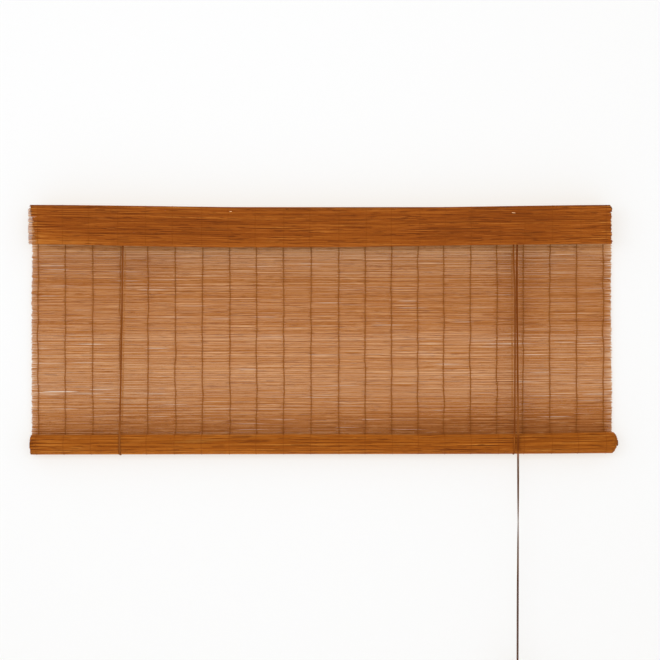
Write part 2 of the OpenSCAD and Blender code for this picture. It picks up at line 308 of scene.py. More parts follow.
# painted shade on the pull cord: darker along its upper stretch under the valance and in a band where it reaches the
# top of the roll
pull_cord_mat = cord_material("braided_cord_pull_painted_shade", lin(95, 46, 13), lin(121, 61, 20), lin(147, 83, 33),
                              shade_and_wear_bands=((36.0, 43.0, lin(100, 50, 15), lin(127, 66, 23), lin(152, 88, 38)),
                                       (52.0, 60.0, lin(116, 63, 24), lin(140, 80, 34), lin(163, 103, 49)),
                                       (69.5, 71.0, lin(96, 45, 12), lin(119, 59, 19), lin(142, 81, 32)),
                                       (75.0, 76.0, lin(112, 58, 20), lin(134, 73, 27), lin(156, 94, 40)),
                                       (76.5, 78.5, lin(68, 41, 21), lin(100, 62, 34), lin(134, 92, 57)),
                                       (112.0, 121.0, lin(54, 24, 6), lin(80, 38, 11), lin(110, 60, 23))))
worn_cord_mat = cord_material("braided_cord_worn", lin(114, 63, 25), lin(133, 76, 32), lin(152, 93, 44))
# the right sling's cord, with painted shade in a band toward its underside
shaded_cord_mat = cord_material("braided_cord_sling_painted_shade", lin(118, 61, 19), lin(141, 76, 25), lin(160, 95, 38),
                                shade_and_wear_bands=((1.7, 2.7, lin(98, 48, 15), lin(122, 63, 23), lin(146, 86, 38)),))
lift_cord_mat = cord_material("braided_cord_lift", lin(100, 51, 17), lin(125, 68, 27), lin(150, 90, 42),
                              shade_and_wear_bands=((38.5, 40.5, lin(114, 63, 25), lin(133, 76, 32), lin(152, 93, 44)),))
lift_dark_mat = cord_material("braided_cord_lift_dark", lin(104, 54, 19), lin(130, 72, 29), lin(154, 94, 44),
                              shade_and_wear_bands=((37.0, 39.5, lin(92, 44, 13), lin(114, 58, 20), lin(138, 80, 34)),
                                        (41.0, 42.6, lin(120, 63, 20), lin(143, 78, 26), lin(162, 97, 40))))
tie_mat = cord_material("tie_cord", lin(58, 34, 18), lin(92, 54, 28), lin(126, 82, 46))


def stick_material(name, stops, fleck, light, rough=(0.5, 0.72), spec=0.07, streak=0.4, fibre=0.42, dark_line=0.5, light_line=0.3, edge_shade=0.25, spot_line=None, run=1.0):
    """Split bamboo: each stick has its own tone, streaks along its length, fibres, dark and light lines, and painted
    shade along its edges where the sticks meet.
    """
    m, nt, bsdf = new_mat(name)
    tone = put(nt, "ShaderNodeAttribute", {"attribute_name": "tone"}).outputs["Fac"]
    side = put(nt, "ShaderNodeAttribute", {"attribute_name": "side"}).outputs["Fac"]
    grain = put(nt, "ShaderNodeAttribute", {"attribute_name": "grain"}).outputs["Vector"]
    n1 = noise(nt, stretch(nt, grain, (15.0 / run, 13.7, 0.0)), 1.0, 2.0, 0.55)
    n2 = noise(nt, stretch(nt, grain, (70.0 / run, 17.3, 1.1)), 1.0, 4.0, 0.6)
    n3 = noise(nt, stretch(nt, grain, (120.0, 29.3, 0.25)), 1.0, 1.0, 0.5)
    f = math_node(nt, "ADD", tone, math_node(nt, "MULTIPLY", math_node(nt, "SUBTRACT", n1, 0.5), streak))
    f = math_node(nt, "ADD", f, math_node(nt, "MULTIPLY", math_node(nt, "SUBTRACT", n2, 0.5), fibre))
    col = ramp(nt, f, stops)
    n4 = noise(nt, stretch(nt, grain, (32.0 / run, 7.9, 0.5)), 1.0, 1.0, 0.5)
    line = ramp(nt, n4, [(0.60, grey(0.0)), (0.66, grey(1.0))])
    col = mix_col(nt, math_node(nt, "MULTIPLY", line, dark_line), col, fleck)
    n5 = noise(nt, stretch(nt, grain, (28.0 / run, 11.3, 0.5)), 1.0, 1.0, 0.5)
    line = ramp(nt, n5, [(0.62, grey(0.0)), (0.70, grey(1.0))])
    col = mix_col(nt, math_node(nt, "MULTIPLY", line, light_line), col, light)
    spot = ramp(nt, n3, [(0.68, grey(0.0)), (0.76, grey(1.0))])
    col = mix_col(nt, math_node(nt, "MULTIPLY", spot, dark_line if spot_line is None else spot_line), col, fleck)
    edge = ramp(nt, math_node(nt, "ABSOLUTE", side), [(0.72, grey(0.0)), (1.0, grey(1.0))])
    col = mix_col(nt, math_node(nt, "MULTIPLY", edge, edge_shade), col, fleck)
    nt.links.new(col, bsdf.inputs["Base Color"])
    r = put(nt, "ShaderNodeMapRange", None, {"Value": n2, "From Min": 0.3, "From Max": 0.7, "To Min": rough[0], "To Max": rough[1]})
    nt.links.new(r.outputs[0], bsdf.inputs["Roughness"])
    bsdf.inputs["Specular IOR Level"].default_value = spec
    bump(nt, bsdf, n2, 0.35, 0.00015)
    return m


valance_mat_look = stick_material(
    "bamboo_dark",
    [(0.0, lin(108, 50, 9)), (0.3, lin(138, 68, 15)), (0.5, lin(155, 80, 20)), (0.72, lin(170, 94, 28)), (1.0, lin(198, 124, 50))],
    lin(98, 42, 8), lin(190, 110, 42), dark_line=0.58, light_line=0.4, streak=0.34, spot_line=0.3, run=1.25)
roll_mat_look = stick_material(
    "bamboo_roll",
    [(0.0, lin(112, 53, 9)), (0.3, lin(145, 75, 15)), (0.5, lin(163, 88, 21)), (0.72, lin(178, 102, 29)), (1.0, lin(204, 131, 52))],
    lin(102, 46, 8), lin(198, 122, 46), dark_line=0.58, light_line=0.45, streak=0.38, spot_line=0.3, run=1.25)
# painted light: the same bamboo made lighter, standing in for light that comes through the single layer of the hanging
# panel and of the valance's back layer
panel_painted_backlight_mat = stick_material(
    "bamboo_painted_backlight",
    [(0.0, lin(132, 72, 27)), (0.3, lin(164, 98, 46)), (0.5, lin(177, 113, 60)), (0.72, lin(190, 129, 76)), (1.0, lin(212, 158, 108))],
    lin(118, 60, 22), lin(216, 162, 112), dark_line=0.38, light_line=0.35, edge_shade=0.18)
end_dark = stick_material(
    "bamboo_ends",
    [(0.0, lin(52, 26, 9)), (0.5, lin(98, 56, 23)), (1.0, lin(176, 124, 74))],
    lin(44, 22, 8), lin(190, 140, 90), rough=(0.7, 0.9), spec=0.05)


def thread_material(name, dark, light):
    m, nt, bsdf = new_mat(name)
    pos = put(nt, "ShaderNodeTexCoord").outputs["Object"]
    n1 = noise(nt, stretch(nt, pos, (1500.0, 1500.0, 900.0)), 1.0, 2.0, 0.5)
    col = ramp(nt, n1, [(0.3, dark), (0.7, light)])
    nt.links.new(col, bsdf.inputs["Base Color"])
    bsdf.inputs["Roughness"].default_value = 0.8
    bsdf.inputs["Specular IOR Level"].default_value = 0.03
    bump(nt, bsdf, n1, 0.4, 0.0001)
    return m


thread_mat = thread_material("warp_thread", lin(123, 69, 27), lin(156, 96, 42))
thread_val_mat = thread_material("warp_thread_valance", lin(124, 62, 17), lin(158, 88, 31))


def wood_material(name, dark, mid, light, ring=26.0, rough=0.55, spec=0.2, coat=0.0):
    m, nt, bsdf = new_mat(name)
    pos = put(nt, "ShaderNodeTexCoord").outputs["Object"]
    warp = noise(nt, stretch(nt, pos, (2.2, 30.0, 30.0)), 1.0, 3.0, 0.5)
    sep = put(nt, "ShaderNodeSeparateXYZ", None, {0: pos})
    yz = math_node(nt, "ADD", math_node(nt, "MULTIPLY", sep.outputs[1], 1.0), math_node(nt, "MULTIPLY", sep.outputs[2], 1.9))
    band = math_node(nt, "SINE", math_node(nt, "ADD", math_node(nt, "MULTIPLY", yz, ring * 22.0), math_node(nt, "MULTIPLY", warp, 9.0)))
    pores = noise(nt, stretch(nt, pos, (60.0, 1400.0, 1400.0)), 1.0, 3.0, 0.6)
    f = math_node(nt, "ADD", math_node(nt, "MULTIPLY", band, 0.17), math_node(nt, "MULTIPLY", pores, 0.55))
    f = math_node(nt, "ADD", f, math_node(nt, "MULTIPLY", warp, 0.45))
    col = ramp(nt, f, [(0.2, dark), (0.52, mid), (0.85, light)])
    nt.links.new(col, bsdf.inputs["Base Color"])
    r = put(nt, "ShaderNodeMapRange", None, {"Value": pores, "From Min": 0.3, "From Max": 0.7, "To Min": rough - 0.1, "To Max": rough + 0.12})
    nt.links.new(r.outputs[0], bsdf.inputs["Roughness"])
    bsdf.inputs["Specular IOR Level"].default_value = spec
    bsdf.inputs["Coat Weight"].default_value = coat
    bsdf.inputs["Coat Roughness"].default_value = 0.25
    bump(nt, bsdf, pores, 0.25, 0.0002)
    return m


board_wood = wood_material("board_wood", lin(120, 76, 36), lin(168, 118, 66), lin(200, 154, 98))
rod_wood = wood_material("rod_wood", lin(70, 40, 17), lin(108, 66, 30), lin(142, 94, 50), ring=60.0)
lath_wood = wood_material("lath_bamboo", lin(72, 44, 14), lin(112, 72, 26), lin(140, 98, 42), ring=90.0)
tassel_wood = wood_material("tassel_wood", lin(70, 36, 14), lin(112, 62, 26), lin(148, 92, 44), ring=45.0, rough=0.35, spec=0.4, coat=0.35)


def metal_material(name, col_a, col_b, rough_lo, rough_hi, scale=900.0):
    m, nt, bsdf = new_mat(name)
    pos = put(nt, "ShaderNodeTexCoord").outputs["Object"]
    n1 = noise(nt, pos, scale, 3.0, 0.6)
    n2 = noise(nt, pos, scale * 0.12, 2.0, 0.5)
    col = ramp(nt, math_node(nt, "ADD", math_node(nt, "MULTIPLY", n1, 0.5), math_node(nt, "MULTIPLY", n2, 0.5)), [(0.35, col_a), (0.65, col_b)])
    nt.links.new(col, bsdf.inputs["Base Color"])
    bsdf.inputs["Metallic"].default_value = 1.0
    r = put(nt, "ShaderNodeMapRange", None, {"Value": n1, "From Min": 0.3, "From Max": 0.7, "To Min": rough_lo, "To Max": rough_hi})
    nt.links.new(r.outputs[0], bsdf.inputs["Roughness"])
    bump(nt, bsdf, n1, 0.08, 0.0001)
    return m


zinc = metal_material("zinc_steel", lin(168, 168, 164), lin(206, 206, 202), 0.28, 0.5)
bright_wire = metal_material("coppered_wire", lin(236, 178, 120), lin(252, 214, 164), 0.3, 0.5)
dull_wire = metal_material("rusted_wire", lin(62, 26, 10), lin(104, 50, 20), 0.6, 0.85)
brass = metal_material("brassed_steel", lin(170, 136, 70), lin(214, 184, 112), 0.22, 0.42)


def nylon_material():
    m, nt, bsdf = new_mat("nylon")
    pos = put(nt, "ShaderNodeTexCoord").outputs["Object"]
    n1 = noise(nt, pos, 700.0, 3.0, 0.5)
    nt.links.new(ramp(nt, n1, [(0.3, lin(214, 208, 190)), (0.7, lin(236, 232, 218))]), bsdf.inputs["Base Color"])
    bsdf.inputs["Roughness"].default_value = 0.42
    bump(nt, bsdf, n1, 0.1, 0.0001)
    return m


nylon = nylon_material()

# ---------------------------------------------------------------- cords
D = 2.0
LANE_A, LANE_B, AXLE_Z, TURN_R = -26.2, -28.6, -25.5, 4.0
LEFT_X, RIGHT_X, ROLL_Y, SLING_R = -403.0, 398.6, -3.45, 22.75
EYE_Y, KNOT_Z, LOOP_Z, REAR_Y = 21.7, -31.0, -26.8, 19.3
HX, HY, HZ = 401.2, -27.2, -973.0


def axis_z(x):
    """The roll's axis. The soft roll bends a little off the straight line between its ends."""
    return -486.7 + 4.0 * x / 1200.0 + np.interp(x, BEND_X, BEND_Z)


BEND_X = np.linspace(-610.0, 620.0, 124)
BEND_Z = np.interp(BEND_X, [-600.0, -45.0, 244.0, 450.0, 600.0], [0.4, -0.25, -1.5, -1.0, 1.4])
FAT_R = np.interp(BEND_X, [-600.0, -300.0, 0.0, 244.0, 450.0, 600.0], [-0.1, 0.0, 0.1, -0.3, 0.4, 1.7])
for _ in range(3):
    BEND_Z = np.convolve(np.pad(BEND_Z, 6, mode="edge"), np.ones(13) / 13, mode="valid")
    FAT_R = np.convolve(np.pad(FAT_R, 6, mode="edge"), np.ones(13) / 13, mode="valid")


# the two pull strands, side by side with a slow twist: z, middle x, gap, turn in degrees
twist = np.array([
    (-25.6, 402.6, 2.4, 90), (-45, 402.3, 2.4, 86), (-75, 401.0, 2.3, 40), (-118, 400.2, 2.15, 12),
    (-200, 400.6, 2.1, 14), (-272, 401.5, 2.1, 32), (-360, 402.0, 2.3, 22), (-434, 402.6, 2.8, 8),
    (-470, 403.2, 2.7, 0), (-490, 403.2, 2.5, 0), (-510, 402.8, 2.3, 2), (-545, 403.0, 2.15, 10), (-608, 403.0, 2.1, 50),
    (-650, 402.9, 2.1, 88), (-690, 402.7, 2.1, 122), (-740, 402.5, 2.1, 140), (-790, 402.2, 2.1, 168),
    (-860, 402.0, 2.1, 184), (-929, 401.8, 2.15, 180)])


def hank_turns(side, y0, dy):
    """Stepped turns of a hank: four layers of four turns, going down on the given side."""
    pts = []
    radii = [14, 12, 10, 8, 6, 6, 8, 10, 12, 12, 10, 8, 6, 6, 8, 10, 12]
    layer = [0, 0, 0, 0, 0, 1, 1, 1, 1, 2, 2, 2, 2, 3, 3, 3, 3]
    for k in range(1, len(radii)):
        r0, r1 = radii[k - 1], radii[k]
        l0, l1 = layer[k - 1], layer[k]
        for t in np.linspace(0, 1, 12, endpoint=False):
            e = t * t * (3 - 2 * t)
            pts.append((side * (r0 + (r1 - r0) * e), y0 + dy * (l0 + (l1 - l0) * e), 20 - 40 * t))
        for a in np.linspace(0, math.pi, 14, endpoint=False):
            pts.append((side * r1 * math.cos(a), y0 + dy * l1, -20 - r1 * math.sin(a)))
        for t in np.linspace(0, 1, 10, endpoint=False):
            pts.append((-side * r1, y0 + dy * l1, -20 + 40 * t))
        for a in np.linspace(0, math.pi, 14, endpoint=False):
            pts.append((-side * r1 * math.cos(a), y0 + dy * l1, 20 + r1 * math.sin(a)))
    return np.array(pts) + np.array([HX, 0.0, HZ])


def pull_path(sign, y0, dy, tail_x):
    """One strand from the roller, down past the roll, through the hank and into the tassel."""
    z = np.concatenate([np.arange(-25.6, -929, -6.0), [-929.0]])
    o = np.argsort(twist[:, 0])
    cx, gap, ang = [np.interp(z, twist[o, 0], twist[o, k]) for k in (1, 2, 3)]
    ker = np.hanning(9)[1:-1]
    ker /= ker.sum()
    cx, gap, ang = [np.convolve(np.pad(a, 3, mode="edge"), ker, mode="valid") for a in (cx, gap, ang)]
    ang = np.radians(ang)
    x = cx - sign * gap / 2 * np.cos(ang)
    y = -27.4 - sign * gap / 2 * np.sin(ang)
    down = np.stack([x, y, z], 1)
    side = sign
    turns = hank_turns(side, y0, dy)
    s = side
    entry = np.array([
        (HX + s * 4.6, (down[-1, 1] + y0) / 2, -936.0), (HX + s * 10.2, y0, -943.0), (HX + s * 13.6, y0, -949.5)])
    yl = y0 + 3 * dy
    leave = np.array([
        (HX + s * 12.0, yl, -953.0), (HX + s * 12.0, yl, -968.0), (HX + s * 12.1, yl, -984.0), (HX + s * 12.3, yl, -995.0),
        (HX + s * 10.5, yl + 0.1 * (HY - yl), -1003.0), (HX + s * 5.6, yl + 0.45 * (HY - yl), -1010.5),
        (tail_x + 0.3 * s, yl + 0.9 * (HY - yl), -1016.5), (tail_x, HY, -1022.0), (tail_x, HY, -1030.0), (tail_x, HY, -1038.5)])
    route = np.vstack([down, entry, turns, leave])
    return even(smooth_line(route, 2.0), 2.0)


pull_lines = {
    "left_pull_cord": pull_path(1.0, HY - 1.0, -2.0, HX + 1.1),
    "right_pull_cord": pull_path(-1.0, HY + 1.0, 2.0, HX - 1.1)}
pull_objs = {}
for name, line in pull_lines.items():
    pull_objs[name] = cord_mesh(name, [(line, False)], D / 2, pull_cord_mat, 10)
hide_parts("left_pull_strand", "cord_hank", "cord_tails")
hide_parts("right_pull_strand", "cord_hank", "cord_tails")


def arc(cx, y, cz, r, a0, a1, n):
    a = np.radians(np.linspace(a0, a1, n))
    return np.stack([cx + r * np.cos(a), np.full(n, y), cz + r * np.sin(a)], 1)


# lift cords: the run over both rollers, and the short bend over the right one
left_run = np.vstack([
    arc(LEFT_X, LANE_B, AXLE_Z, TURN_R, 180, 90, 9),
    np.stack([np.linspace(LEFT_X + 4, RIGHT_X - 4, 200), np.full(200, LANE_B), np.full(200, AXLE_Z + TURN_R)], 1),
    arc(RIGHT_X, LANE_B, AXLE_Z, TURN_R, 90, 0, 9)])
o = cord_mesh("left_lift_run", [(left_run, False)], D / 2, cord_mat)
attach(o, "head"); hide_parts("left_cord_run")
o = cord_mesh("right_lift_bend", [(arc(RIGHT_X, LANE_A, AXLE_Z, TURN_R, 180, 0, 17), False)], D / 2, cord_mat)
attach(o, "head"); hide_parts("right_cord_bend")


def lift_leg(name, node, a, b, bow=0.0, mat=lift_cord_mat, top=0.0):
    """A nearly straight leg down to its foot at the roll."""
    p = np.linspace(a, b, 160)
    p[:, 0] += bow * np.sin(math.pi * np.linspace(0, 1, 160))
    p[:, 0] += top * np.sin(math.pi * np.interp(p[:, 2], [-185.0, -92.0, -25.5], [0.0, 0.5, 1.0])) ** 2
    o = cord_mesh(name, [(p, False)], np.interp(np.arange(160), [0, 2, 10], [1.1, 1.1, 1.7]), mat, 12, 0.5)
    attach(o, "head")
    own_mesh(o)
    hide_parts(node)
    return o


SLX, SRX = -415.0, 395.4
HUG = 22.5
lift_leg("left_lift_front", "left_cord_front", (-407.0, LANE_B, -25.5), (SLX, ROLL_Y - HUG, axis_z(SLX)), 0.7)
lift_leg("right_lift_front", "right_cord_front", (394.6, LANE_A, -25.5), (SRX, ROLL_Y - HUG, axis_z(SRX)), 1.7, lift_dark_mat, -1.9)
lift_leg("left_lift_rear", "left_cord_rear", (-407.0, EYE_Y, -33.0), (SLX, REAR_Y, axis_z(SLX)))
lift_leg("right_lift_rear", "right_cord_rear", (394.6, EYE_Y, -33.0), (SRX, REAR_Y, axis_z(SRX)))
for name, node, x in (("left_lift_sling", "left_cord_sling", SLX), ("right_lift_sling", "right_cord_sling", SRX)):
    a = np.linspace(0, math.pi, 60)
    r = np.interp(a, [0, 0.5, 1.2, 2.0, 2.6, math.pi], [HUG, 22.0, 21.6, 21.6, 22.0, SLING_R])
    p = np.stack([np.full(60, x), ROLL_Y - r * np.cos(a), axis_z(x) - r * np.sin(a)], 1)
    o = cord_mesh(name, [(p, False)], 1.7, worn_cord_mat if x < 0 else shaded_cord_mat, 12, 0.45)
    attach(o, "slings"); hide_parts(node)


def knot_line(c, size, n=90):
    """A trefoil, which is what an overhand knot pulls into."""
    t = np.linspace(0, 2 * math.pi, n, endpoint=False)
    p = np.stack([np.sin(t) + 2 * np.sin(2 * t), np.cos(t) - 2 * np.cos(2 * t), -1.35 * np.sin(3 * t)], 1) / 3.0
    return p * size + np.array(c)


for name, node, x in (("left_eye_tie", "left_eye_knot", -407.0), ("right_eye_tie", "right_eye_knot", 394.6)):
    a = np.linspace(0, 2 * math.pi, 40, endpoint=False)
    loop = np.stack([np.full(40, x), EYE_Y + 2.0 * np.cos(a), LOOP_Z + 2.0 * np.sin(a)], 1)
    tail = smooth_line([(x, EYE_Y + 0.6, KNOT_Z), (x + 1.6, EYE_Y + 1.6, KNOT_Z - 2.5), (x + 2.2, EYE_Y + 1.8, KNOT_Z - 7), (x + 2.0, EYE_Y + 1.5, KNOT_Z - 12)], 0.8)
    o = cord_mesh(name, [(loop, True), (knot_line((x, EYE_Y, KNOT_Z), 1.7), True), (tail, False)], 0.95, cord_mat, 8)
    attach(o, "head"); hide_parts(node)

# tie round the hank: three wraps and a knot
wraps = []
for i in range(3):
    z = HZ + (i - 1) * 1.55
    hw, hd, rc = 14.0, 9.0, 3.5
    pts = []
    for cx, cy, a0 in ((hw - rc, hd - rc, 0), (-hw + rc, hd - rc, 90), (-hw + rc, -hd + rc, 180), (hw - rc, -hd + rc, 270)):
        for a in np.radians(np.linspace(a0, a0 + 90, 7)):
            pts.append((HX + cx + rc * math.cos(a), HY + cy + rc * math.sin(a), z + 0.3 * math.sin(a + i)))
    wraps.append((np.array(pts), True))
wraps.append((knot_line((HX + 2.0, HY - 10.6, HZ), 1.5), True))
for s in (-1, 1):
    wraps.append((smooth_line([(HX + 2 + s * 0.8, HY - 10.8, HZ - 0.8), (HX + 2 + s * 2.2, HY - 11.4, HZ - 4), (HX + 2 + s * 2.8, HY - 11.0, HZ - 11)], 0.8), False))
tie = cord_mesh("hank_tie_wraps", wraps, 0.75, tie_mat, 8)
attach(tie, "pull"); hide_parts("hank_tie")

end_knot = cord_mesh("tassel_end_knot", [(knot_line((HX, HY, -1042.0), 3.0, 120), True)], 1.05, cord_mat, 10)
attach(end_knot, "pull"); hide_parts("tassel_knot")


def lathe(name, profile, centre, mat, seg=64):
    p = np.array(profile, float)
    n = len(p)
    a = 2 * math.pi * np.arange(seg) / seg
    v = np.stack([np.outer(p[:, 0], np.cos(a)), np.outer(p[:, 0], np.sin(a)), np.repeat(p[:, 1][:, None], seg, 1)], -1) + np.array(centre)
    i = np.arange(n)[:, None]
    j = np.arange(seg)[None, :]
    i2, j2 = (i + 1) % n, (j + 1) % seg
    q = np.stack([i * seg + j, i * seg + j2, i2 * seg + j2, i2 * seg + j], -1).reshape(-1, 4)
    return build(name, v.reshape(-1, 3), [q], [mat])


def rounded(points, n=5, cut=0.35):
    """A closed outline with its corners rounded."""
    p = np.array(points, float)
    out = []
    for i in range(len(p)):
        a, b, c = p[i - 1], p[i], p[(i + 1) % len(p)]
        ra = min(cut, 0.45 * np.linalg.norm(a - b))
        rc = min(cut, 0.45 * np.linalg.norm(c - b))
        s, e = b + unit(a - b) * ra, b + unit(c - b) * rc
        for t in np.linspace(0, 1, n):
            out.append((1 - t) ** 2 * s + 2 * t * (1 - t) * b + t * t * e)
    return out


tassel_line = [
    (5.0, -1052.0), (6.6, -1052.0), (7.5, -1050.2), (7.95, -1047.0), (8.0, -1045.6), (7.55, -1045.0), (7.55, -1044.4), (7.9, -1043.8),
    (7.6, -1041.0), (6.9, -1037.5), (6.1, -1034.0), (5.2, -1030.5), (4.5, -1027.6), (4.05, -1025.6), (3.7, -1025.2), (3.7, -1024.7), (4.1, -1024.3),
    (4.05, -1022.8), (3.5, -1022.0), (2.5, -1022.0), (2.5, -1038.0), (5.0, -1038.0)]
tassel = lathe("tassel_bell", rounded(tassel_line), (HX, HY, 0.0), tassel_wood)
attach(tassel, "pull"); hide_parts("cord_tassel")

for name, o in pull_objs.items():
    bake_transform(o)
    line = pull_lines[name]

# ---------------------------------------------------------------- stick bundles
HEX = np.array([(math.cos(a), math.sin(a)) for a in np.radians(np.arange(0, 360, 60))])


def blur(f, sigma, axis):
    if sigma <= 0:
        return f
    r = int(math.ceil(3 * sigma))
    k = np.exp(-0.5 * (np.arange(-r, r + 1) / sigma) ** 2)
    k /= k.sum()
    f = np.moveaxis(f, axis, 0)
    g = np.pad(f, [(r, r)] + [(0, 0)] * (f.ndim - 1), mode="reflect" if f.shape[0] > r else "edge")
    out = sum(w * g[i:i + f.shape[0]] for i, w in enumerate(k))
    return np.moveaxis(out, 0, axis)


def crisp(f, sharp=0.9):
    """Push each stick away from the mean of its two neighbours, and bring the whole to a spread of one."""
    g = np.pad(f, [(1, 1), (0, 0)], mode="reflect" if len(f) > 1 else "edge")
    g = f + sharp * (f - 0.5 * (g[:-2] + g[2:]))
    return g / g.std()


def tone_field(rng, count, rings, long_sigma, mean=0.5, spread=0.13, own=0.5, sharp=0.9, broad=0.0, edge=0.0):
    """Tone of each stick along its length: its own shade and drifting streaks."""
    drift = blur(rng.normal(size=(count, rings)), long_sigma, 1)
    f = own * rng.normal(size=(count, 1)) + drift / drift.std() * 0.85
    f = spread * crisp(f, sharp)
    if edge:
        side = np.pad(f, ((1, 1), (0, 0)), mode="edge")
        f = f + edge * (2 * f - side[:-2] - side[2:])
    if broad:
        slow = blur(blur(rng.normal(size=(count, rings)), 3.0 * long_sigma, 1), 3.0, 0)
        f = f + broad * slow / slow.std()
    return np.clip(mean + f, 0.02, 0.98)


def bundle(name, C, U, V, a, b, tone, ids, mats, back=None):
    """Sticks along C (stick, ring, xyz), with half width a along U and half thickness b along V."""
    S, n = C.shape[:2]
    K = len(HEX)
    pts = (C[:, :, None, :]
           + (a[:, :, None] * HEX[:, 0])[..., None] * U[:, :, None, :]
           + (b[:, :, None] * HEX[:, 1])[..., None] * V[:, :, None, :])
    base = (np.arange(S) * n * K)[:, None, None]
    i = np.arange(n - 1)[None, :, None]
    j = np.arange(K)[None, None, :]
    j2 = (j + 1) % K
    q = np.stack([base + i * K + j, base + i * K + j2, base + (i + 1) * K + j2, base + (i + 1) * K + j], -1).reshape(-1, 4)
    first = base[:, 0, :] + np.arange(K)[None, ::-1]
    last = base[:, 0, :] + (n - 1) * K + np.arange(K)[None, :]
    grain = np.zeros((S, n, K, 3))
    grain[..., 0] = C[:, :, None, 0] * MM
    grain[..., 1] = np.asarray(ids)[:, None, None]
    grain[..., 2] = np.arange(K)[None, None, :] * 0.5
    t = np.broadcast_to(tone[:, :, None], (S, n, K))
    if back is not None:
        t = np.where(HEX[:, 1] < -0.05, back[:, :, None], t)
    side = np.broadcast_to(HEX[:, 0], (S, n, K))
    return build(name, pts, [q, np.vstack([first, last])], mats, [True, False], [0, 1],
                 {"tone": ("FLOAT", t), "side": ("FLOAT", side), "grain": ("FLOAT_VECTOR", grain)})


def strands(name, paths, r, mat, k=4):
    """Many thin tubes at once. paths is (strand, ring, xyz), and none of them runs along X."""
    P = np.asarray(paths, float)
    S, n = P.shape[:2]
    T = unit(np.gradient(P, axis=1))
    X = np.array([1.0, 0, 0])
    u = unit(X - T * (T @ X)[..., None])
    v = np.cross(T, u)
    ang = 2 * math.pi * (np.arange(k) + 0.5) / k
    pts = P[:, :, None, :] + r * (np.cos(ang)[None, None, :, None] * u[:, :, None, :] + np.sin(ang)[None, None, :, None] * v[:, :, None, :])
    base = (np.arange(S) * n * k)[:, None, None]
    i = np.arange(n - 1)[None, :, None]
    j = np.arange(k)[None, None, :]
    j2 = (j + 1) % k
    q = np.stack([base + i * k + j, base + i * k + j2, base + (i + 1) * k + j2, base + (i + 1) * k + j], -1).reshape(-1, 4)
    caps = np.vstack([base[:, 0, :] + np.arange(k)[None, ::-1], base[:, 0, :] + (n - 1) * k + np.arange(k)[None, :]])
    return build(name, pts, [q, caps], [mat], [True, False])


def twine(centres, normals, half, r, x, phase, spread=0.36):
    """A pair of threads twined round a row of sticks: each goes in front of one and behind the next."""
    n = len(centres)
    x = np.broadcast_to(x, (n,))
    mid = (centres[:-1] + centres[1:]) / 2
    out = []
    for s in (1.0, -1.0):
        p = np.zeros((2 * n - 1, 3))
        sign = s * np.where((np.arange(n) + phase) % 2 == 0, 1.0, -1.0)
        p[0::2] = centres + normals * (sign * (half + r * 0.85))[:, None]
        p[1::2] = mid
        p[0::2, 0] = x + 0.45 * spread * sign
        p[1::2, 0] = (x[:-1] + x[1:]) / 2 + spread * s * np.where((np.arange(n - 1) + phase) % 2 == 0, 1.0, -1.0)
        out.append(p)
    return out


# ---------------------------------------------------------------- hanging panel
PANEL_Y = 17.0
THREAD_X = np.array([
    -588.0, -531.6, -475.0, -418.2, -360.8, -303.6, -247.4, -190.6, -135.0, -79.4, -22.4,
    35.0, 89.7, 144.5, 199.2, 252.6, 307.9, 363.1, 417.1, 472.8, 528.2, 583.8])
rng = np.random.default_rng(20)
S = 225
cells = len(THREAD_X) - 1
frac = np.array([0.0, 0.15, 0.5, 0.85])
ring_x = np.concatenate([THREAD_X[c] + frac * (THREAD_X[c + 1] - THREAD_X[c]) for c in range(cells)] + [THREAD_X[-1:]])
down = np.linspace(0, 1, S)
left_end = -600.0 + np.interp(down, [0, 0.2, 0.35, 1], [-0.4, -0.4, -1.7, -1.3]) + np.clip(rng.normal(0.2, 0.7, S), -1.0, 2.0)
right_end = 600.0 + np.interp(down, [0, 0.18, 0.32, 0.6, 0.85, 1], [0.3, 0.4, -0.6, 0.9, 1.8, 1.8]) - np.clip(rng.normal(0.2, 0.8, S), -1.0, 2.2)
X = np.concatenate([
    left_end[:, None], left_end[:, None] + 2.0, np.broadcast_to(ring_x, (S, len(ring_x))),
    right_end[:, None] - 2.0, right_end[:, None]], 1)
R = X.shape[1]
t = np.linspace(0, 1, S)[:, None]
top, foot = -19.4, axis_z(X) + 1.1
Z = top + (foot - top) * t + rng.normal(0, 0.04, (S, 1))
